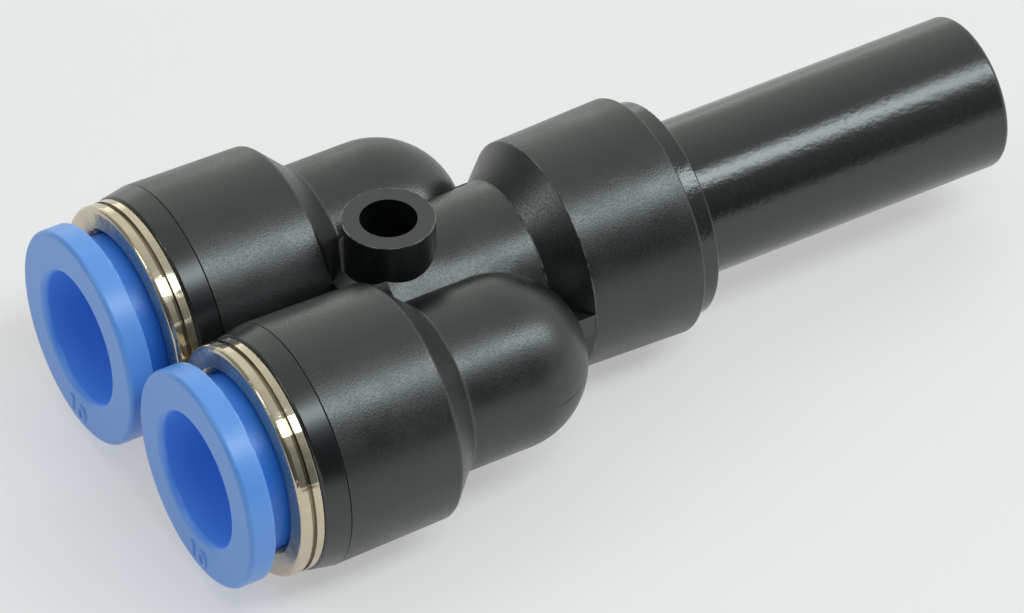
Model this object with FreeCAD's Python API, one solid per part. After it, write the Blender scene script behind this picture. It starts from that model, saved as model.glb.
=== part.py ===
import FreeCAD, Part
import math
import os

# Two-way push-in tube fitting with a plug-in stem, moulded as a Y.
# Millimetres. X runs along the stem towards its free end, Y goes across
# the two tube ports and Z runs up the mounting hole. The origin is the
# middle of the mounting hole, on the level of the three port axes.

# Sizes that set the fitting
TUBE_DIAMETER = 10.0
STEM_DIAMETER = 12.0
STEM_REACH = 27.0
MOUNTING_HOLE_DIAMETER = 4.25
SLEEVE_TRAVEL = 1.6

# Clearances, on the radius
TUBE_CLEARANCE = 0.15
SEAT_CLEARANCE = 0.08
SLEEVE_CLEARANCE = 0.07
PRESS_CLEARANCE = 0.03
BEAD_CLEARANCE = 0.10
COLLET_CLEARANCE = 0.10

# Port, from the tube outwards
CARTRIDGE_DEPTH = 2.6
PRESS_STEP = 0.38
MOUTH_WALL = 0.95
PARTING_SWELL = 0.34
REAR_TAPER = 0.17
NECK_WALL = 1.49
WALL_BETWEEN_PORTS = 1.84

# Port, from its mouth backwards
MOUTH_X = -15.4
MOUTH_BAND = 1.9
BARREL_LENGTH = 11.1
SHOULDER_LENGTH = 2.5
NECK_LENGTH = 5.75
PRESS_DEPTH = 2.8
CARTRIDGE_LENGTH = 7.2
TUBE_SEAT_LENGTH = 3.5
TUBE_LEAD_IN = 0.5

# Ducts
TUBE_STOP_STEP = 0.5
PORT_DUCT_REACH = 3.85
DUCT_END_ROUND = 1.8
SPINE_DUCT_RADIUS = 5.1
WALL_BEHIND_HOLE = 1.075

# Middle tube and hub
SPINE_WALL = 1.45
SPINE_FLARE = 0.17
SPINE_BEVEL = 2.4
SPINE_END_X = 9.8
CONE_LENGTH = 2.5
HUB_LENGTH = 9.2
HUB_WALL = 2.12
HUB_FLARE = 0.28
PLUG_STEP = 0.8
PLUG_DEPTH = 6.5

# Webs between the elbows and the hub
WEB_HALF_THICKNESS = 0.93
WEB_DEPTH = 1.9
WEB_SINK = 0.1

# Mounting boss
BOSS_WALL = 1.325
BOSS_HALF_HEIGHT = 8.93

# Plug-in stem
STEM_WALL = 1.8
COLLAR_LENGTH = 1.7
COLLAR_STEP = 0.83
COLLAR_DRAFT = 0.04

# Retaining ring
RING_PROUD = 1.9
RING_STEP = 0.1
LIP_LENGTH = 1.4
SKIRT_WALL = 0.75
GROOVE_SET = 1.05
GROOVE_WIDTH = 0.36
GROOVE_DEPTH = 0.22

# Release sleeve
FLANGE_ROOM = 0.15
FLANGE_THICKNESS = 2.1
FLANGE_WIDTH = 3.15
SLEEVE_WALL = 1.5
TAIL_STEP = 0.25
BEAD_LENGTH = 0.5
BEAD_SLOPE = 0.6
NOSE_REACH = 4.9
NOSE_CONE = 1.6
NOSE_WALL = 0.45
SLOT_WIDTH = 0.9
SLOTS = 4

# Grab ring and collet ring
COLLET_LENGTH = 1.85
CLAWS = 12
CLAW_SLIT_WIDTH = 0.55
CLAW_SHEET = 0.35
CLAW_RIM = 1.05
CLAW_BITE = 0.07
CLAW_LEAN = 1.2

# Spacer ring and lip seal
SPACER_GAP = 0.05
SPACER_LENGTH = 2.15
SPACER_LIP = 0.35
SPACER_STEP = 0.25
SEAL_SQUEEZE = 0.15
SEAL_ROUND = 0.15

# Rounds on edges
SHARP_ROUND = 0.12
EDGE_ROUND = 0.25
SOFT_ROUND = 0.38
LARGE_ROUND = 0.5

# Radii that follow
TUBE_RADIUS = TUBE_DIAMETER / 2
TUBE_BORE_RADIUS = TUBE_RADIUS + TUBE_CLEARANCE
TUBE_SEAT_RADIUS = TUBE_RADIUS + SEAT_CLEARANCE
CARTRIDGE_RADIUS = TUBE_RADIUS + CARTRIDGE_DEPTH
PRESS_BORE_RADIUS = CARTRIDGE_RADIUS + PRESS_STEP
MOUTH_RADIUS = PRESS_BORE_RADIUS + MOUTH_WALL
PARTING_RADIUS = MOUTH_RADIUS + PARTING_SWELL
BARREL_REAR_RADIUS = PARTING_RADIUS - REAR_TAPER
NECK_RADIUS = TUBE_SEAT_RADIUS + NECK_WALL
PORT_DUCT_RADIUS = TUBE_RADIUS - TUBE_STOP_STEP
SPINE_RADIUS = SPINE_DUCT_RADIUS + SPINE_WALL
STEM_RADIUS = STEM_DIAMETER / 2
STEM_BORE_RADIUS = STEM_RADIUS - STEM_WALL
PLUG_RADIUS = STEM_RADIUS + PLUG_STEP
HUB_START_RADIUS = PLUG_RADIUS + PRESS_CLEARANCE + HUB_WALL
HUB_END_RADIUS = HUB_START_RADIUS + HUB_FLARE
COLLAR_RADIUS = HUB_END_RADIUS - COLLAR_STEP
HOLE_RADIUS = MOUNTING_HOLE_DIAMETER / 2
BOSS_RADIUS = HOLE_RADIUS + BOSS_WALL
RING_RADIUS = MOUTH_RADIUS - RING_STEP
SKIRT_RADIUS = PRESS_BORE_RADIUS - PRESS_CLEARANCE
SKIRT_INNER_RADIUS = SKIRT_RADIUS - SKIRT_WALL
SLEEVE_RADIUS = TUBE_BORE_RADIUS + SLEEVE_WALL
CARTRIDGE_FIT_RADIUS = CARTRIDGE_RADIUS - PRESS_CLEARANCE
CLAW_ROOT_RADIUS = CARTRIDGE_RADIUS - CLAW_RIM

# Places along X that follow
PARTING_X = MOUTH_X + MOUTH_BAND
BARREL_REAR_X = MOUTH_X + BARREL_LENGTH
NECK_START_X = BARREL_REAR_X + SHOULDER_LENGTH
ELBOW_X = NECK_START_X + NECK_LENGTH
PRESS_BORE_END_X = MOUTH_X + PRESS_DEPTH
CARTRIDGE_END_X = PRESS_BORE_END_X + CARTRIDGE_LENGTH
TUBE_STOP_X = CARTRIDGE_END_X + TUBE_SEAT_LENGTH
PORT_DUCT_END_X = ELBOW_X + PORT_DUCT_REACH
SPINE_DUCT_START_X = HOLE_RADIUS + WALL_BEHIND_HOLE
SPINE_START_X = BARREL_REAR_X + SPINE_BEVEL
HUB_START_X = SPINE_END_X + CONE_LENGTH
HUB_END_X = HUB_START_X + HUB_LENGTH
HUB_BORE_START_X = HUB_END_X - PLUG_DEPTH
COLLAR_END_X = HUB_END_X + COLLAR_LENGTH
STEM_END_X = COLLAR_END_X + STEM_REACH
RING_FRONT_X = MOUTH_X - RING_PROUD
RING_LIP_END_X = RING_FRONT_X + LIP_LENGTH
FLANGE_REAR_X = RING_FRONT_X - SLEEVE_TRAVEL - FLANGE_ROOM
CLAW_ROOT_X = PRESS_BORE_END_X + COLLET_LENGTH
SPACER_START_X = CLAW_ROOT_X + CLAW_SHEET + SPACER_GAP
SPACER_END_X = SPACER_START_X + SPACER_LENGTH

# The two ports lie side by side with one wall between their press bores.
PORT_PITCH = 2 * PRESS_BORE_RADIUS + WALL_BETWEEN_PORTS
HALF_PITCH = PORT_PITCH / 2
PORTS = {"left": HALF_PITCH, "right": -HALF_PITCH}

os.makedirs("parts", exist_ok=True)

V = FreeCAD.Vector
X_AXIS = V(1, 0, 0)
Z_AXIS = V(0, 0, 1)


def save(shape, name):
    shape.exportStep("parts/" + name + ".step")


def corner(before, point, after, radius):
    """The two tangent points and the middle of a round on a profile corner."""
    a = V(before[0] - point[0], before[1] - point[1], 0)
    b = V(after[0] - point[0], after[1] - point[1], 0)
    a.normalize()
    b.normalize()
    half = a.getAngle(b) / 2
    reach = radius / math.tan(half)
    middle = a + b
    middle.normalize()
    at = V(point[0], point[1], 0)
    centre = at + middle * (radius / math.sin(half))
    return at + a * reach, centre - middle * radius, at + b * reach


def turned(points, axis_y=0.0):
    """Turn a closed profile of (x, radius) or (x, radius, round) about a line along X."""
    edges = []
    ends = []
    count = len(points)
    for i, point in enumerate(points):
        if len(point) == 3:
            ends.append(corner(points[i - 1], point, points[(i + 1) % count], point[2]))
        else:
            at = V(point[0], point[1], 0)
            ends.append((at, None, at))
    for i in range(count):
        first = ends[i]
        second = ends[(i + 1) % count]
        if first[1] is not None:
            edges.append(Part.Arc(first[0], first[1], first[2]).toShape())
        if first[2].distanceToPoint(second[0]) > 1e-6:
            edges.append(Part.makeLine(first[2], second[0]))
    face = Part.Face(Part.Wire(edges))
    solid = face.revolve(V(0, 0, 0), X_AXIS, 360)
    solid.translate(V(0, axis_y, 0))
    return solid


def rod(x_start, x_end, radius):
    return Part.makeCylinder(radius, x_end - x_start, V(x_start, 0, 0), X_AXIS)


# Body moulding
# The barrel of each port swells from its mouth to the parting ring, then
# draws in towards a bevelled shoulder. The neck behind it ends in a
# ball-shaped elbow that turns into the middle tube.
def port_outside(axis_y):
    barrel = turned([
        (MOUTH_X, 0),
        (MOUTH_X, MOUTH_RADIUS, EDGE_ROUND),
        (PARTING_X, PARTING_RADIUS),
        (BARREL_REAR_X, BARREL_REAR_RADIUS, SOFT_ROUND),
        (NECK_START_X, NECK_RADIUS, LARGE_ROUND),
        (ELBOW_X, NECK_RADIUS),
        (ELBOW_X, 0),
    ], axis_y)
    elbow = Part.makeSphere(NECK_RADIUS, V(ELBOW_X, axis_y, 0))
    return barrel.fuse(elbow)


body = port_outside(HALF_PITCH).fuse(port_outside(-HALF_PITCH))

# The middle tube starts in a bevel between the two shoulders and opens
# through a cone into the hub that takes the stem.
spine = turned([
    (BARREL_REAR_X, 0),
    (BARREL_REAR_X, SPINE_RADIUS - SPINE_BEVEL),
    (SPINE_START_X, SPINE_RADIUS, EDGE_ROUND),
    (SPINE_END_X, SPINE_RADIUS + SPINE_FLARE, EDGE_ROUND),
    (HUB_START_X, HUB_START_RADIUS, EDGE_ROUND),
    (HUB_END_X, HUB_END_RADIUS, EDGE_ROUND),
    (HUB_END_X, 0),
])
body = body.fuse(spine)


# A low web on the parting level ties each elbow to the rim of the hub.
def web(side):
    start = ELBOW_X + NECK_RADIUS / 2
    length = HUB_START_X + WEB_SINK - start
    middle_y = side * (HUB_START_RADIUS - WEB_SINK - WEB_DEPTH / 2)
    corner_at = V(start, middle_y - WEB_DEPTH / 2, -WEB_HALF_THICKNESS)
    return Part.makeBox(length, WEB_DEPTH, 2 * WEB_HALF_THICKNESS, corner_at)


body = body.fuse([web(1), web(-1)])

boss = Part.makeCylinder(BOSS_RADIUS, 2 * BOSS_HALF_HEIGHT, V(0, 0, -BOSS_HALF_HEIGHT), Z_AXIS)
body = body.fuse(boss)

# Each port is cored in steps: press bore for the retaining ring, chamber
# for the cartridge of small parts, tube seat with its stop, and duct.
for axis_y in PORTS.values():
    socket = turned([
        (RING_FRONT_X, 0),
        (RING_FRONT_X, PRESS_BORE_RADIUS),
        (PRESS_BORE_END_X, PRESS_BORE_RADIUS),
        (PRESS_BORE_END_X, CARTRIDGE_RADIUS),
        (CARTRIDGE_END_X, CARTRIDGE_RADIUS),
        (CARTRIDGE_END_X, TUBE_SEAT_RADIUS + TUBE_LEAD_IN),
        (CARTRIDGE_END_X + TUBE_LEAD_IN, TUBE_SEAT_RADIUS),
        (TUBE_STOP_X, TUBE_SEAT_RADIUS),
        (TUBE_STOP_X, PORT_DUCT_RADIUS),
        (PORT_DUCT_END_X, PORT_DUCT_RADIUS, DUCT_END_ROUND),
        (PORT_DUCT_END_X, 0),
    ], axis_y)
    body = body.cut(socket)

# The middle duct is cored from the hub. It is wide enough to break into
# the side of both port ducts, which leaves a window for the air to each.
body = body.cut(rod(SPINE_DUCT_START_X, HUB_END_X, SPINE_DUCT_RADIUS))
body = body.cut(rod(HUB_BORE_START_X, COLLAR_END_X, PLUG_RADIUS + PRESS_CLEARANCE))

hole = Part.makeCylinder(HOLE_RADIUS, 4 * BOSS_HALF_HEIGHT, V(0, 0, -2 * BOSS_HALF_HEIGHT), Z_AXIS)
body = body.cut(hole)
save(body.removeSplitter(), "body")

# Plug-in stem, a separate moulding pressed and welded into the hub
stem = turned([
    (HUB_BORE_START_X, STEM_BORE_RADIUS),
    (HUB_BORE_START_X, PLUG_RADIUS - SOFT_ROUND),
    (HUB_BORE_START_X + SOFT_ROUND, PLUG_RADIUS),
    (HUB_END_X, PLUG_RADIUS),
    (HUB_END_X, COLLAR_RADIUS, SHARP_ROUND),
    (COLLAR_END_X, COLLAR_RADIUS - COLLAR_DRAFT, EDGE_ROUND),
    (COLLAR_END_X, STEM_RADIUS),
    (STEM_END_X, STEM_RADIUS, LARGE_ROUND),
    (STEM_END_X, STEM_BORE_RADIUS, EDGE_ROUND),
])
save(stem, "plug_stem")


# Retaining ring, turned brass, pressed into the mouth of the barrel
def retaining_ring(axis_y):
    lip_bore = SLEEVE_RADIUS + SLEEVE_CLEARANCE
    groove_start = RING_FRONT_X + GROOVE_SET - GROOVE_WIDTH / 2
    groove_floor = RING_RADIUS - GROOVE_DEPTH
    return turned([
        (RING_FRONT_X, lip_bore + LARGE_ROUND),
        (RING_FRONT_X, RING_RADIUS, SOFT_ROUND),
        (groove_start, RING_RADIUS),
        (groove_start, groove_floor),
        (groove_start + GROOVE_WIDTH, groove_floor),
        (groove_start + GROOVE_WIDTH, RING_RADIUS),
        (MOUTH_X, RING_RADIUS, SHARP_ROUND),
        (MOUTH_X, SKIRT_RADIUS),
        (PRESS_BORE_END_X, SKIRT_RADIUS),
        (PRESS_BORE_END_X, SKIRT_INNER_RADIUS),
        (RING_LIP_END_X, SKIRT_INNER_RADIUS),
        (RING_LIP_END_X, lip_bore),
        (RING_FRONT_X + LARGE_ROUND, lip_bore),
    ], axis_y)


# Release sleeve. Its bead hooks behind the lip of the retaining ring and
# its slit tail ends in a nose that spreads the claws.
def release_sleeve(axis_y):
    front = FLANGE_REAR_X - FLANGE_THICKNESS
    flange = TUBE_BORE_RADIUS + FLANGE_WIDTH
    bead = SKIRT_INNER_RADIUS - BEAD_CLEARANCE
    bead_front = RING_LIP_END_X + SPACER_GAP
    tail = SLEEVE_RADIUS - TAIL_STEP
    nose_x = RING_LIP_END_X + NOSE_REACH
    sleeve = turned([
        (front, TUBE_BORE_RADIUS, LARGE_ROUND),
        (front, flange, SOFT_ROUND),
        (FLANGE_REAR_X, flange, EDGE_ROUND),
        (FLANGE_REAR_X, SLEEVE_RADIUS, EDGE_ROUND),
        (bead_front, SLEEVE_RADIUS),
        (bead_front, bead),
        (bead_front + BEAD_LENGTH, bead),
        (bead_front + BEAD_LENGTH + BEAD_SLOPE, tail),
        (nose_x - NOSE_CONE, tail),
        (nose_x, TUBE_BORE_RADIUS + NOSE_WALL, SHARP_ROUND),
        (nose_x, TUBE_BORE_RADIUS, SHARP_ROUND),
    ], axis_y)
    slot_start = RING_LIP_END_X - EDGE_ROUND
    slot_length = nose_x - slot_start + NOSE_CONE
    for k in range(SLOTS):
        slot = Part.makeBox(slot_length, SLOT_WIDTH, flange, V(slot_start, -SLOT_WIDTH / 2, 0))
        slot.rotate(V(0, 0, 0), X_AXIS, (k + 0.5) * 360 / SLOTS)
        slot.translate(V(0, axis_y, 0))
        sleeve = sleeve.cut(slot)
    return sleeve


# Grab ring, stainless sheet: a flat rim and a crown of claws that lean
# away from the mouth, parted by narrow slits
def grab_ring(axis_y):
    tip = TUBE_RADIUS - CLAW_BITE
    ring = turned([
        (CLAW_ROOT_X, CARTRIDGE_FIT_RADIUS),
        (CLAW_ROOT_X + CLAW_SHEET, CARTRIDGE_FIT_RADIUS),
        (CLAW_ROOT_X + CLAW_SHEET, CLAW_ROOT_RADIUS),
        (CLAW_ROOT_X + CLAW_LEAN + CLAW_SHEET * 0.7, tip + CLAW_SHEET * 0.3),
        (CLAW_ROOT_X + CLAW_LEAN, tip),
        (CLAW_ROOT_X, CLAW_ROOT_RADIUS),
    ], axis_y)
    for k in range(CLAWS):
        slit = Part.makeBox(
            2 * CLAW_LEAN,
            CLAW_SLIT_WIDTH,
            CLAW_ROOT_RADIUS,
            V(CLAW_ROOT_X - CLAW_SHEET, -CLAW_SLIT_WIDTH / 2, 0),
        )
        slit.rotate(V(0, 0, 0), X_AXIS, k * 360 / CLAWS)
        slit.translate(V(0, axis_y, 0))
        ring = ring.cut(slit)
    return ring


# Collet ring between the retaining ring and the rim of the claws
def collet_ring(axis_y):
    inner = SLEEVE_RADIUS + COLLET_CLEARANCE
    return turned([
        (PRESS_BORE_END_X, CARTRIDGE_FIT_RADIUS),
        (CLAW_ROOT_X, CARTRIDGE_FIT_RADIUS),
        (CLAW_ROOT_X, inner),
        (PRESS_BORE_END_X, inner),
    ], axis_y)


# Spacer ring, moulded, backs the claws and keeps the seal in its place
def spacer_ring(axis_y):
    inner = TUBE_BORE_RADIUS + COLLET_CLEARANCE
    return turned([
        (SPACER_START_X, CLAW_ROOT_RADIUS + SPACER_STEP),
        (SPACER_START_X, CARTRIDGE_FIT_RADIUS),
        (SPACER_END_X, CARTRIDGE_FIT_RADIUS),
        (SPACER_END_X, inner),
        (SPACER_END_X - SPACER_LIP, inner),
    ], axis_y)


# Lip seal, rubber, with a lip towards the tube and one towards the wall.
# Its profile is given as shares of its length and of its height.
def lip_seal(axis_y):
    length = CARTRIDGE_END_X - SPACER_END_X
    lip = TUBE_RADIUS - SEAL_SQUEEZE
    height = CARTRIDGE_RADIUS - lip
    shares = [
        (0.0, 0.31),
        (0.0, 0.86),
        (0.32, 1.0),
        (1.0, 0.96),
        (1.0, 0.69),
        (0.54, 0.55),
        (0.88, 0.18),
        (0.80, 0.0),
        (0.18, 0.15),
    ]
    rounds = [0] + [SEAL_ROUND] * 6 + [SEAL_ROUND / 2, SEAL_ROUND]
    profile = []
    for (along, out), radius in zip(shares, rounds):
        point = (SPACER_END_X + along * length, lip + out * height)
        profile.append(point + (radius,) if radius else point)
    return turned(profile, axis_y)


for side_name, axis_y in PORTS.items():
    save(retaining_ring(axis_y), "retaining_ring_" + side_name)
    save(release_sleeve(axis_y), "release_sleeve_" + side_name)
    save(collet_ring(axis_y), "collet_ring_" + side_name)
    save(grab_ring(axis_y), "grab_ring_" + side_name)
    save(spacer_ring(axis_y), "spacer_ring_" + side_name)
    save(lip_seal(axis_y), "lip_seal_" + side_name)
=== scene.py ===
import math

import bpy
import numpy as np
from mathutils import Matrix, Vector


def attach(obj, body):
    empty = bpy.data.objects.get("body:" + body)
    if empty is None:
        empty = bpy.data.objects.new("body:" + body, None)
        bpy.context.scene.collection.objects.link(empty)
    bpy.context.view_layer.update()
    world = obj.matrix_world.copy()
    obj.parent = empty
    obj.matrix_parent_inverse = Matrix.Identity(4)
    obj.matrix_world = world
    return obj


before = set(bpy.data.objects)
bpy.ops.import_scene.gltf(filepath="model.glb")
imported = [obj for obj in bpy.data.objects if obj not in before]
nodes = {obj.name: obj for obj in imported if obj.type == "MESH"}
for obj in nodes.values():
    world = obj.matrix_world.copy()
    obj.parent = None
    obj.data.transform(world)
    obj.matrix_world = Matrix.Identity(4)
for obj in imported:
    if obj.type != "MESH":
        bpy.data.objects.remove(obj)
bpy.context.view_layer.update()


# Moulded Y body
# One black glass-filled moulding. The tool is spark-eroded, so the skin has a
# fine even grain, and the two inserts at the mouths leave a smoother band.
MM = 0.001  # one millimetre, in metres; the sizes below are in millimetres
INSERT_LINE_X = -13.5
# Where the mould line gapes: its middle, how far it gapes fully, and how far at all
GAPE_X, GAPE_HALF, GAPE_END = 6.9, 1.0, 1.9
PIN_MARK, PIN_RADIUS = (16.8, -4.66, 7.76), 0.88
# Sharp edges as place along an axis, distance from it and width of the pale wear and painted
# highlight
HUB_RIM = (12.32, 8.95, 0.06)
CONE_START = (9.80, 6.72, 0.07)
BOSS_RIM = (8.93, 3.45, 0.13)


def new_material(name):
    """An empty material, and a function that adds a node to it."""
    material = bpy.data.materials.new(name)
    material.use_nodes = True
    material.node_tree.nodes.clear()
    return material, adder(material.node_tree)


def adder(tree):
    """A function that puts a node in the tree.

    It sets the node's properties first, then its inputs by value or link.
    """
    def add(kind, inputs=None, **settings):
        node = tree.nodes.new(kind)
        for key, value in settings.items():
            setattr(node, key, value)
        for key, value in (inputs or {}).items():
            if isinstance(value, bpy.types.NodeSocket):
                tree.links.new(value, node.inputs[key])
            else:
                node.inputs[key].default_value = value
        return node
    return add


def maths(add, operation, *values):
    """One step of arithmetic on one, two or three values."""
    return add("ShaderNodeMath", dict(enumerate(values)), operation=operation).outputs[0]


def vector_maths(add, operation, *values):
    """One step of arithmetic on vectors: the vector and the number that come out."""
    node = add("ShaderNodeVectorMath", dict(enumerate(values)), operation=operation)
    return node.outputs[0], node.outputs[1]


def ramp(add, value, low, high, first=0.0, last=1.0):
    """The value mapped from low and high to first and last, and held beyond them."""
    ends = {"From Min": low, "From Max": high, "To Min": first, "To Max": last}
    return add("ShaderNodeMapRange", {"Value": value, **ends}).outputs["Result"]


def near(add, value, middle, inner, outer):
    """1 where the value is within the inner distance of the middle, 0 beyond the outer one."""
    off = maths(add, "ABSOLUTE", maths(add, "SUBTRACT", value, middle * MM))
    return ramp(add, off, inner * MM, outer * MM, 1.0, 0.0)


def near_edge(add, along, across, edge, inner, outer):
    """1 within the inner distance of a round edge at (along, across), 0 beyond the outer one."""
    off_along = maths(add, "SUBTRACT", along, edge[0] * MM)
    off_across = maths(add, "SUBTRACT", across, edge[1] * MM)
    off = add("ShaderNodeCombineXYZ", {"X": off_along, "Y": off_across}).outputs["Vector"]
    return ramp(add, vector_maths(add, "LENGTH", off)[1], outer * MM, inner * MM)


def noise(add, place, scale, detail, roughness=0.5):
    """The value of a noise at a place."""
    inputs = {"Vector": place, "Scale": scale, "Detail": detail, "Roughness": roughness}
    return add("ShaderNodeTexNoise", inputs).outputs["Fac"]


def blend(add, share, one, other):
    """The first colour where the share is nought, the second where it is one."""
    node = add("ShaderNodeMix", {"Factor": share}, data_type="RGBA")
    for socket, colour in (("A", one), ("B", other)):
        if isinstance(colour, bpy.types.NodeSocket):
            node.id_data.links.new(colour, node.inputs[socket])
        else:
            node.inputs[socket].default_value = (*colour, 1)
    return node.outputs["Result"]


def moulded_grain():
    """Fine noise for a skin's height, slow clouds for patches, and rare specks of dust."""
    tree = bpy.data.node_groups.new("moulded_grain", "ShaderNodeTree")
    for socket, kind in (("Place", "Vector"), ("Size", "Float"), ("Clouds", "Float")):
        tree.interface.new_socket(socket, in_out="INPUT", socket_type="NodeSocket" + kind)
    for socket in ("Height", "Patch", "Speck"):
        tree.interface.new_socket(socket, in_out="OUTPUT", socket_type="NodeSocketFloat")
    add = adder(tree)
    given, out = add("NodeGroupInput"), add("NodeGroupOutput")
    place = given.outputs["Place"]
    fine_scale = maths(add, "DIVIDE", 1.0, given.outputs["Size"])
    slow_scale = maths(add, "DIVIDE", 1.0, given.outputs["Clouds"])
    dots = add("ShaderNodeTexVoronoi", {"Vector": place, "Scale": fine_scale}, feature="F1")
    speck = ramp(add, dots.outputs["Distance"], 0.10, 0.18, 1.0, 0.0)
    rare = maths(add, "GREATER_THAN", dots.outputs["Color"], 0.993)
    tree.links.new(noise(add, place, fine_scale, 1.5, 0.6), out.inputs["Height"])
    tree.links.new(noise(add, place, slow_scale, 4.0, 0.55), out.inputs["Patch"])
    tree.links.new(maths(add, "MULTIPLY", speck, rare), out.inputs["Speck"])
    return tree


def body_finish():
    """Black eroded skin, smoother in front of the insert line, with the marks of its tool."""
    material, add = new_material("black_eroded_skin")
    place = add("ShaderNodeTexCoord").outputs["Object"]
    inputs = {"Place": place, "Size": 0.15 * MM, "Clouds": 3.5 * MM}
    grain = add("ShaderNodeGroup", inputs, node_tree=moulded_grain()).outputs
    x, y, z = add("ShaderNodeSeparateXYZ", {"Vector": place}).outputs
    # 1 in front of the insert line, 0 behind it, and a hairline between
    band = ramp(add, x, (INSERT_LINE_X + 0.04) * MM, (INSERT_LINE_X - 0.04) * MM)
    line = near(add, x, INSERT_LINE_X, 0.02, 0.055)
    # The line where the two halves of the mould meet, faint and broken, and
    # open for a short stretch on each elbow
    mould_line = near(add, z, 0.0, 0.02, 0.06)
    faint = ramp(add, grain["Patch"], 0.52, 0.66, 0.0, 0.3)
    open_here = near(add, x, GAPE_X, GAPE_HALF, GAPE_END)
    mould_line = maths(add, "MULTIPLY", mould_line, maths(add, "MAXIMUM", faint, open_here))
    # A ring left by an ejector pin on the hub
    from_pin = vector_maths(add, "DISTANCE", place, tuple(Vector(PIN_MARK) * MM))[1]
    pin_ring = near(add, from_pin, PIN_RADIUS, 0.02, 0.07)
    # Height: grain, less of it on the band, with the marks sunk into it
    height = maths(add, "MULTIPLY", grain["Height"], ramp(add, band, 0.0, 1.0, 1.0, 0.15))
    for mark, depth in ((line, 3.0), (mould_line, 1.6), (pin_ring, 0.3)):
        height = maths(add, "MULTIPLY_ADD", mark, -depth, height)
    bump = add("ShaderNodeBump", {"Height": height, "Strength": 1.0, "Distance": 0.011 * MM})
    # Colour: near black, cooler and browner in clouds, black in the lines
    lines = maths(add, "MAXIMUM", line, mould_line)
    colour = blend(add, grain["Patch"], (0.0016, 0.0027, 0.0031), (0.0030, 0.0042, 0.0044))
    colour = blend(add, lines, colour, (0.002, 0.002, 0.002))
    # Pale on the edges that the tool leaves sharp: partly wear, partly a painted highlight for
    # the light their burrs catch
    from_axis = vector_maths(add, "LENGTH", vector_maths(add, "MULTIPLY", place, (0, 1, 1))[0])[1]
    from_hole = vector_maths(add, "LENGTH", vector_maths(add, "MULTIPLY", place, (1, 1, 0))[0])[1]
    worn_and_glinting = near_edge(add, x, from_axis, HUB_RIM, 0.0, HUB_RIM[2])
    for along, across, edge in ((x, from_axis, CONE_START), (z, from_hole, BOSS_RIM)):
        worn_and_glinting = maths(add, "MAXIMUM", worn_and_glinting, near_edge(add, along, across, edge, 0.0, edge[2]))
    broken = ramp(add, noise(add, place, 1400.0, 3.0), 0.42, 0.58)
    colour = blend(add, maths(add, "MULTIPLY", worn_and_glinting, broken), colour, (0.16, 0.17, 0.16))
    colour = blend(add, grain["Speck"], colour, (0.30, 0.32, 0.31))
    # Gloss: uneven with the patches and the grain, even on the band
    rough = ramp(add, grain["Patch"], 0.3, 0.7, 0.30, 0.40)
    rough = maths(add, "ADD", rough, ramp(add, grain["Height"], 0.3, 0.7, -0.07, 0.07))
    rough = add("ShaderNodeMix", {"Factor": band, "A": rough, "B": 0.28}, data_type="FLOAT")
    # In the lines, black with the metallic value up gives back almost no
    # light, as an open gap does
    shader = add("ShaderNodeBsdfPrincipled", {
        "Base Color": colour, "Roughness": rough.outputs["Result"], "Metallic": lines,
        "Normal": bump.outputs["Normal"],
    })
    shader.inputs["IOR"].default_value = 1.75
    add("ShaderNodeOutputMaterial", {"Surface": shader.outputs["BSDF"]})
    return material


def dress(material, slot, *names):
    """Give CAD nodes their finish. The slot argument is not used."""
    for name in names:
        nodes[name].data.materials.clear()
        nodes[name].data.materials.append(material)


dress(body_finish(), "body_plastic", "body")


# Flash on the boss
# A thin sliver of the body's plastic that stands off the left side of the
# boss, where two parts of the tool meet. It was never trimmed off.
FLASH_SHIFT, FLASH_REACH, FLASH_THICKNESS = 0.10, 0.34, 0.06


def mesh_object(name, corners, faces):
    """An object at the origin from corners in millimetres and faces."""
    mesh = bpy.data.meshes.new(name)
    mesh.from_pydata((corners * MM).tolist(), [], faces)
    mesh.shade_smooth()
    made = bpy.data.objects.new(name, mesh)
    bpy.context.scene.collection.objects.link(made)
    return made


def flash_sliver(name, direction, low, high):
    """A sliver that stands off the side of the boss.

    At each height a flat ellipse, long across and thin along the wall, is set
    on the wall of the boss. Its length grows from the lower end to the upper
    with the height to the power of one and a half, and near both ends it
    follows the square root of the distance that is left, so that they close
    in a point.
    """
    rows, columns = 24, 12
    rise = np.linspace(0.0, 1.0, rows)[:, None]
    turn = np.linspace(0.0, 2 * math.pi, columns, endpoint=False)[None, :]
    closing = np.sqrt(np.clip(8.0 * np.minimum(rise, 1.0 - rise), 1e-4, 1.0))
    share = closing * (0.25 + 0.75 * rise ** 1.5)
    away = BOSS_RIM[1] + FLASH_SHIFT * share + FLASH_REACH * share * np.cos(turn)
    aside = FLASH_THICKNESS * share * np.sin(turn)
    angle = math.radians(direction)
    x = away * math.cos(angle) - aside * math.sin(angle)
    y = away * math.sin(angle) + aside * math.cos(angle)
    z = low + (high - low) * rise + 0.0 * turn
    i, j = np.arange(rows - 1)[:, None] * columns, np.arange(columns)[None, :]
    ahead = (j + 1) % columns
    faces = np.stack([i + j, i + ahead, i + columns + ahead, i + columns + j], 2)
    faces = faces.reshape(-1, 4).tolist()
    faces += [list(range(columns))[::-1], list(range((rows - 1) * columns, rows * columns))]
    return mesh_object(name, np.stack([x, y, z], 2).reshape(-1, 3), faces)


def flash_finish():
    """Paler and duller than the skin, in clouds; the pale tone is a painted highlight for the lit
    strip beside the boss.
    """
    material, add = new_material("flash_painted_highlight")
    place = add("ShaderNodeTexCoord").outputs["Object"]
    # Painted highlight: this pale tone stands in for light on the sliver
    tone = blend(add, noise(add, place, 1500.0, 3.0), (0.15, 0.150, 0.135), (0.28, 0.28, 0.25))
    shader = add("ShaderNodeBsdfPrincipled", {"Base Color": tone})
    shader.inputs["Roughness"].default_value = 0.7
    add("ShaderNodeOutputMaterial", {"Surface": shader.outputs["BSDF"]})
    return material


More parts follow.
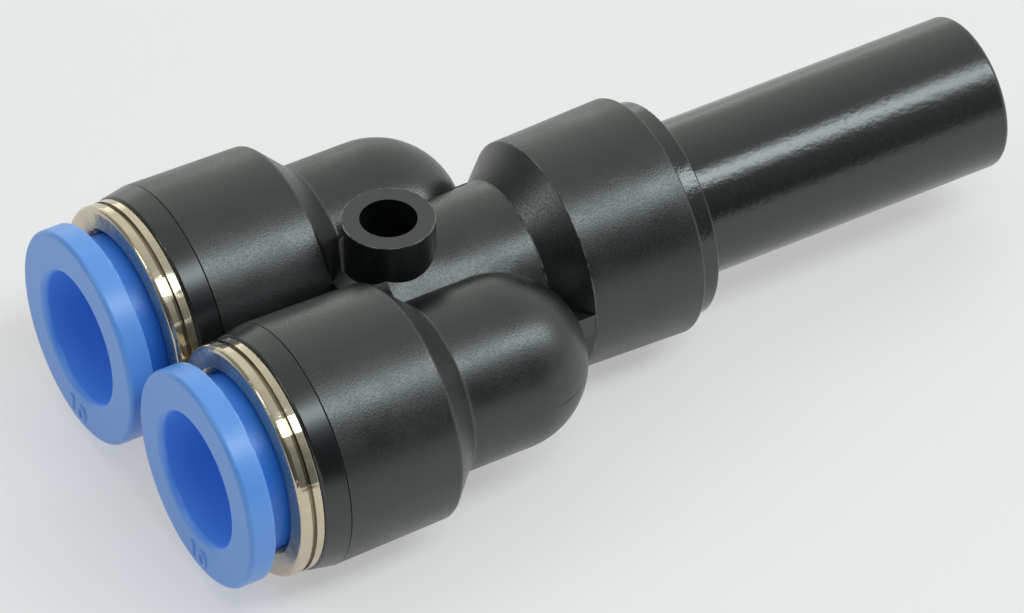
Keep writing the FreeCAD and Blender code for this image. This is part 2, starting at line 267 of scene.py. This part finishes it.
sliver = flash_sliver("boss_flash", 170.0, 3.2, 8.3)
sliver.data.materials.append(flash_finish())
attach(sliver, "fitting")


# Plug-in stem
# A separate black moulding from a polished tool, so it is glossy with a
# slight orange peel. It is pressed into the hub up to its collar.
GLOSSY_X, DULL_X = 24.0, 50.0


def stem_finish():
    """Glossy black with an orange peel and clouds of gloss, duller towards the free end."""
    material, add = new_material("black_polished_skin")
    place = add("ShaderNodeTexCoord").outputs["Object"]
    peel = noise(add, place, 2400.0, 4.0, 0.7)
    cloud = noise(add, place, 300.0, 4.0)
    bump = add("ShaderNodeBump", {"Height": peel, "Strength": 1.0, "Distance": 0.027 * MM})
    x = add("ShaderNodeSeparateXYZ", {"Vector": place}).outputs["X"]
    rough = ramp(add, cloud, 0.3, 0.7, 0.085, 0.125)
    rough = maths(add, "ADD", rough, ramp(add, x, GLOSSY_X * MM, DULL_X * MM, 0.0, 0.11))
    tone = blend(add, cloud, (0.0016, 0.0027, 0.0031), (0.0028, 0.0040, 0.0043))
    shader = add("ShaderNodeBsdfPrincipled", {
        "Base Color": tone, "Roughness": rough, "Normal": bump.outputs["Normal"],
    })
    shader.inputs["IOR"].default_value = 1.75
    add("ShaderNodeOutputMaterial", {"Surface": shader.outputs["BSDF"]})
    return material


dress(stem_finish(), "stem_plastic", "plug_stem")


# Retaining rings
# Brass, turned on an automatic lathe and nickel plated. The tool leaves fine
# rings round the axis, and the plate is bright with a warm cast.
HALF_PITCH = 8.9  # from the middle of the fitting to the axis of each port
GROOVE_X = -16.25
RING_FACE_X = -17.28
MARKS_PER_METRE = 9000.0


def from_port_axis(add, y):
    """How far a place lies aside from the axis of its own port, whichever side that is on."""
    return maths(add, "SUBTRACT", maths(add, "ABSOLUTE", y), HALF_PITCH * MM)


def ring_finish():
    """Bright plate over turning marks and chatter round each ring's own axis."""
    material, add = new_material("nickel_plate")
    place = add("ShaderNodeTexCoord").outputs["Object"]
    x, y, z = add("ShaderNodeSeparateXYZ", {"Vector": place}).outputs
    # Turning marks vary along the axis alone, chatter with the angle round it
    along = maths(add, "MULTIPLY", x, MARKS_PER_METRE)
    inputs = {"W": along, "Scale": 1.0, "Detail": 3.0}
    marks = add("ShaderNodeTexNoise", inputs, noise_dimensions="1D").outputs["Fac"]
    angle = maths(add, "ARCTAN2", z, from_port_axis(add, y))
    inputs = {"W": angle, "Scale": 9.0, "Detail": 2.0}
    chatter = add("ShaderNodeTexNoise", inputs, noise_dimensions="1D").outputs["Fac"]
    cloud = noise(add, place, 900.0, 4.0)
    waves = noise(add, place, 420.0, 2.0)
    height = maths(add, "MULTIPLY", marks, 0.12)
    for relief, share in ((waves, 7.0), (chatter, 1.8), (cloud, 0.25)):
        height = maths(add, "MULTIPLY_ADD", relief, share, height)
    bump = add("ShaderNodeBump", {"Height": height, "Strength": 1.0, "Distance": 0.012 * MM})
    # The groove is darker and browner, and the front face is lightly scratched
    groove = near(add, x, GROOVE_X, 0.16, 0.20)
    face = ramp(add, x, (RING_FACE_X + 0.01) * MM, (RING_FACE_X - 0.01) * MM)
    frost = ramp(add, cloud, 0.35, 0.65, 0.20, 0.34)
    rough = ramp(add, cloud, 0.3, 0.7, 0.08, 0.15)
    rough = add("ShaderNodeMix", {"Factor": face, "A": rough, "B": frost}, data_type="FLOAT")
    tone = blend(add, cloud, (0.58, 0.490, 0.360), (0.67, 0.585, 0.450))
    tone = blend(add, groove, tone, (0.26, 0.215, 0.145))
    shader = add("ShaderNodeBsdfPrincipled", {
        "Base Color": tone, "Roughness": rough.outputs["Result"],
        "Normal": bump.outputs["Normal"],
    })
    shader.inputs["Metallic"].default_value = 0.90
    add("ShaderNodeOutputMaterial", {"Surface": shader.outputs["BSDF"]})
    return material


dress(ring_finish(), "plated_brass", "retaining_ring_left", "retaining_ring_right")


# Release sleeves
# Moulded in mid blue acetal and free to slide in the rings, to let go of the
# tube. The face carries the tube size as two raised figures below the bore.
FACE_X = -21.15
FIGURE_LEVEL = -6.95
STROKE_HALF_WIDTH, STROKE_HEIGHT, STROKE_ROOT = 0.21, 0.12, 0.05
# Rear rim of the flange as place along the port's axis and distance from it
REAR_RIM = (-19.08, 8.27)
# Distances from the port's axis between which the inside turns to the outside
INSIDE, OUTSIDE = 5.2, 5.6


def sleeve_finish():
    """Satin blue with faint clouds in colour and gloss, scuffed pale at the rear rim, with
    painted deeper shade behind the flange and a painted glow in the bore.
    """
    material, add = new_material("blue_acetal")
    place = add("ShaderNodeTexCoord").outputs["Object"]
    cloud = noise(add, place, 260.0, 4.0)
    fine = noise(add, place, 5200.0, 2.0)
    bump = add("ShaderNodeBump", {"Height": fine, "Strength": 1.0, "Distance": 0.014 * MM})
    x, y, z = add("ShaderNodeSeparateXYZ", {"Vector": place}).outputs
    out = add("ShaderNodeCombineXYZ", {"X": from_port_axis(add, y), "Y": z}).outputs["Vector"]
    out = vector_maths(add, "LENGTH", out)[1]
    # Painted shade: the outside of the thin wall behind the flange is painted a deeper blue, for
    # the shade the flange casts on it
    outside = ramp(add, out, INSIDE * MM, OUTSIDE * MM)
    flange_shade = ramp(add, x, (REAR_RIM[0] + 0.08) * MM, (REAR_RIM[0] + 0.48) * MM)
    tone = blend(add, cloud, (0.113, 0.310, 0.81), (0.131, 0.346, 0.87))
    tone = blend(add, maths(add, "MULTIPLY", flange_shade, outside), tone, (0.036, 0.245, 0.88))
    edge = near_edge(add, x, out, REAR_RIM, 0.05, 0.22)
    rubbed = ramp(add, noise(add, place, 900.0, 5.0), 0.54, 0.66, 0.0, 0.55)
    tone = blend(add, maths(add, "MULTIPLY", edge, rubbed), tone, (0.45, 0.62, 0.90))
    # Painted light: a faint glow in the bore stands in for light that comes through the wall
    painted_bore_glow = blend(add, outside, (0.0045, 0.026, 0.105), (0.0, 0.0, 0.0))
    shader = add("ShaderNodeBsdfPrincipled", {
        "Base Color": tone, "Roughness": ramp(add, cloud, 0.3, 0.7, 0.29, 0.38),
        "Normal": bump.outputs["Normal"], "Emission Color": painted_bore_glow,
    })
    shader.inputs["Emission Strength"].default_value = 1.0
    shader.inputs["IOR"].default_value = 1.58
    add("ShaderNodeOutputMaterial", {"Surface": shader.outputs["BSDF"]})
    return material


BLUE = sleeve_finish()
dress(BLUE, "sleeve_plastic", "release_sleeve_left", "release_sleeve_right")


def raised_stroke(path, closed):
    """Corners and faces of a ridge along a path on the face of a sleeve.

    At each point of the path (across, up) a closed section is set square to
    the path: out of the face it follows half an ellipse as wide and high as
    the stroke, and into the face it ends flat at the root. At the ends of an
    open path the section shrinks as the root of one minus the square of the
    distance that is left, so that the end is round and closed.
    """
    step = np.roll(path, -1, 0) - np.roll(path, 1, 0) if closed else np.gradient(path, axis=0)
    step = step / np.linalg.norm(step, axis=1)[:, None]
    square = np.stack([-step[:, 1], step[:, 0]], 1)
    points = 9
    turn = np.linspace(0.0, math.pi, points)
    aside = np.append(np.cos(turn), [-1.0, 1.0])
    run = np.append(0.0, np.cumsum(np.linalg.norm(np.diff(path, axis=0), axis=1)))
    left = np.clip(np.minimum(run, run[-1] - run) / STROKE_HALF_WIDTH, 0.0, 1.0)
    share = np.sqrt(np.maximum(1.0 - (1.0 - left) ** 2, 1e-4))
    share = np.ones(len(path)) if closed else share
    flat = aside[None, :] * STROKE_HALF_WIDTH * share[:, None]
    flat = path[:, None, :] + square[:, None, :] * flat[..., None]
    height = np.append(np.sin(turn) * STROKE_HEIGHT, [0.0, 0.0])
    depth = np.append(np.zeros(points), [STROKE_ROOT, STROKE_ROOT])
    out = height[None, :] * share[:, None] - depth[None, :]
    corners = np.concatenate([-out[..., None], flat], 2)
    rows, columns = out.shape
    i = np.arange(rows if closed else rows - 1)[:, None]
    j = np.arange(columns)[None, :]
    this, following = i * columns, (i + 1) % rows * columns
    ahead = (j + 1) % columns
    faces = np.stack([this + j, this + ahead, following + ahead, following + j], 2)
    faces = faces.reshape(-1, 4).tolist()
    if not closed:
        faces += [list(range(columns))[::-1], list(range((rows - 1) * columns, rows * columns))]
    return corners.reshape(-1, 3), faces


def size_figures(name, port_y, turn):
    """The tube size, one and nought, raised on a sleeve's face and turned by some degrees."""
    round_way = np.linspace(0.0, 2 * math.pi, 40, endpoint=False)
    nought = np.stack([0.72 + 0.46 * np.cos(round_way), 0.60 * np.sin(round_way)], 1)
    bar = np.stack([np.full(30, -0.62), np.linspace(0.72, -0.72, 30)], 1)
    flag = np.stack([np.linspace(-0.66, -1.02, 14), np.linspace(0.66, 0.34, 14)], 1)
    corners, faces = [], []
    for path, closed in ((nought, True), (bar, False), (flag, False)):
        made, made_faces = raised_stroke(path, closed)
        first = sum(len(done) for done in corners)
        faces += [[first + k for k in face] for face in made_faces]
        corners.append(made)
    corners = np.concatenate(corners)
    angle = math.radians(turn)
    across, up = corners[:, 1], corners[:, 2] + FIGURE_LEVEL
    placed = np.stack([
        FACE_X + corners[:, 0],
        port_y - (across * math.cos(angle) - up * math.sin(angle)),
        across * math.sin(angle) + up * math.cos(angle),
    ], 1)
    made = mesh_object(name, placed, faces)
    made.data.materials.append(BLUE)
    return made


for side, port_y, turn in (("left", HALF_PITCH, -3.5), ("right", -HALF_PITCH, 0.5)):
    figures = size_figures("size_figures_" + side, port_y, turn)
    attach(figures, "sleeve_" + side)


# Small parts inside the ports
# Natural moulded rings, stamped stainless claws and black rubber seals, held
# in each barrel behind the retaining ring.
def plain_finish(name, light, dark, roughness, metal, scale):
    """A finish with clouds between two tones and a fine bump."""
    material, add = new_material(name)
    place = add("ShaderNodeTexCoord").outputs["Object"]
    cloud = noise(add, place, scale, 4.0)
    bump = add("ShaderNodeBump", {"Height": cloud, "Strength": 0.2, "Distance": 0.01 * MM})
    tone = blend(add, cloud, light, dark)
    inputs = {"Base Color": tone, "Normal": bump.outputs["Normal"]}
    shader = add("ShaderNodeBsdfPrincipled", inputs)
    shader.inputs["Roughness"].default_value = roughness
    shader.inputs["Metallic"].default_value = metal
    add("ShaderNodeOutputMaterial", {"Surface": shader.outputs["BSDF"]})
    return material


NATURAL = plain_finish(
    "natural_acetal", (0.52, 0.51, 0.46), (0.43, 0.42, 0.38),
    roughness=0.4, metal=0.0, scale=900.0,
)
STEEL = plain_finish(
    "stamped_stainless", (0.60, 0.60, 0.58), (0.50, 0.50, 0.48),
    roughness=0.25, metal=1.0, scale=1800.0,
)
RUBBER = plain_finish(
    "nitrile_rubber", (0.016, 0.016, 0.016), (0.022, 0.022, 0.021),
    roughness=0.55, metal=0.0, scale=1500.0,
)
for side in ("left", "right"):
    dress(NATURAL, "collet_plastic", "collet_ring_" + side, "spacer_ring_" + side)
    dress(STEEL, "spring_steel", "grab_ring_" + side)
    dress(RUBBER, "seal_rubber", "lip_seal_" + side)


# Table
# A wide pale sheet at the level of the barrels' undersides. It is dull, and
# lit evenly from below as well as from above.
REST_LEVEL = -9.27
TABLE_HALF = 1500.0
corners = [(-1, -1), (1, -1), (1, 1), (-1, 1)]
corners = np.array([(a * TABLE_HALF, b * TABLE_HALF, REST_LEVEL) for a, b in corners])
table_top = mesh_object("table_top", corners, [(0, 1, 2, 3)])
table, add = new_material("white_table")
cloud = noise(add, add("ShaderNodeTexCoord").outputs["Object"], 12.0, 2.0)
tone = blend(add, cloud, (0.420, 0.405, 0.400), (0.435, 0.420, 0.415))
shader = add("ShaderNodeBsdfPrincipled", {"Base Color": tone})
shader.inputs["Roughness"].default_value = 0.8
shader.inputs["Emission Color"].default_value = (1.0, 1.0, 1.0, 1)
shader.inputs["Emission Strength"].default_value = 0.42
add("ShaderNodeOutputMaterial", {"Surface": shader.outputs["BSDF"]})
table_top.data.materials.append(table)


# Room and lights
# A room that is palest behind the object and near black in front, with two
# dimmer parts on the left. A long soft box hangs high on the near right, and
# a small one on the left. Seen directly, the room is a plain pale wall.
DARK_SIDE = (-0.373, -0.924, 0.087)
# Brightness by share of the way from the pale side to the dark one
ROOM_STEPS = [
    (0.0, 1.7), (0.012, 1.4), (0.035, 0.92), (0.18, 0.88), (0.36, 0.70),
    (0.55, 0.57), (0.70, 0.46), (0.78, 0.36), (0.84, 0.19), (0.91, 0.04),
]
# Direction of each dimmer part, cosine at its rim and core, and what is left there
DIM_PARTS = (((-0.60, 0.68, 0.37), 0.80, 0.93, 0.35), ((-0.93, -0.33, 0.15), 0.85, 0.95, 0.30))
WALL_SEEN = (0.93, 0.94, 0.94)

world = bpy.data.worlds.new("room")
world.use_nodes = True
bpy.context.scene.world = world
world.node_tree.nodes.clear()
add = adder(world.node_tree)
way = add("ShaderNodeTexCoord").outputs["Generated"]
towards = vector_maths(add, "DOT_PRODUCT", way, tuple(Vector(DARK_SIDE).normalized()))[1]
glow = add("ShaderNodeValToRGB", {"Fac": ramp(add, towards, -1.0, 1.0)})
for position, level in ROOM_STEPS[2:]:
    glow.color_ramp.elements.new(position)
for stop, (position, level) in zip(glow.color_ramp.elements, ROOM_STEPS):
    stop.position = position
    pale = min(level, 1.0)
    stop.color = (level * (0.90 + 0.05 * pale), level, level * (1.0 - 0.08 * pale), 1)
room = glow.outputs["Color"]
for direction, rim, core, least in DIM_PARTS:
    leftwards = vector_maths(add, "DOT_PRODUCT", way, tuple(Vector(direction).normalized()))[1]
    dim = ramp(add, leftwards, rim, core, 1.0, least)
    room = add("ShaderNodeVectorMath", {0: room, "Scale": dim}, operation="SCALE").outputs[0]
sky = blend(add, add("ShaderNodeLightPath").outputs["Is Camera Ray"], room, WALL_SEEN)
back = add("ShaderNodeBackground", {"Color": sky, "Strength": 1.0})
add("ShaderNodeOutputWorld", {"Surface": back.outputs[0]})


def soft_box(name, towards, distance, size, power, colour):
    """A rectangular light that faces the object, its first size as near along X as it can be."""
    light = bpy.data.lights.new(name, "AREA")
    light.shape = "RECTANGLE"
    light.size, light.size_y = size
    light.energy = power
    light.color = colour
    made = bpy.data.objects.new(name, light)
    bpy.context.scene.collection.objects.link(made)
    back_way = Vector(towards).normalized()
    right = (Vector((1, 0, 0)) - back_way * back_way.x).normalized()
    up = back_way.cross(right)
    turn = Matrix((right, up, back_way)).transposed().to_4x4()
    made.matrix_world = Matrix.Translation(back_way * distance) @ turn
    return made


soft_box("long_box", (0.384, -0.430, 0.817), 0.7, (1.0, 0.19), 3.2, (0.88, 0.99, 1.0))
soft_box("side_box", (-0.79, 0.22, 0.575), 0.7, (0.18, 0.24), 0.42, (0.93, 1.0, 1.0))


# Camera
# A long lens at the photograph's angle, fitted to the outline. The focal
# length is in pixels of the photograph's width, the place in millimetres.
FOCAL_PIXELS, WIDTH_PIXELS = 7967.77, 1024.0
EYE_PLACE = (-215.674, -383.193, 381.500)
LOOK_WAY = (0.38397, 0.65088, -0.65492)
RIGHT_WAY = (0.86149, -0.50778, 0.00043)

camera = bpy.data.cameras.new("camera")
camera.sensor_width = 36.0
camera.lens = FOCAL_PIXELS * camera.sensor_width / WIDTH_PIXELS
camera.clip_start, camera.clip_end = 0.01, 10.0
eye = bpy.data.objects.new("camera", camera)
bpy.context.scene.collection.objects.link(eye)
ahead = Vector(LOOK_WAY).normalized()
right = (Vector(RIGHT_WAY) - ahead * ahead.dot(Vector(RIGHT_WAY))).normalized()
turn = Matrix((right, right.cross(ahead), -ahead)).transposed().to_4x4()
eye.matrix_world = Matrix.Translation(Vector(EYE_PLACE) * MM) @ turn
bpy.context.scene.camera = eye
bpy.context.scene.view_settings.view_transform = "Standard"
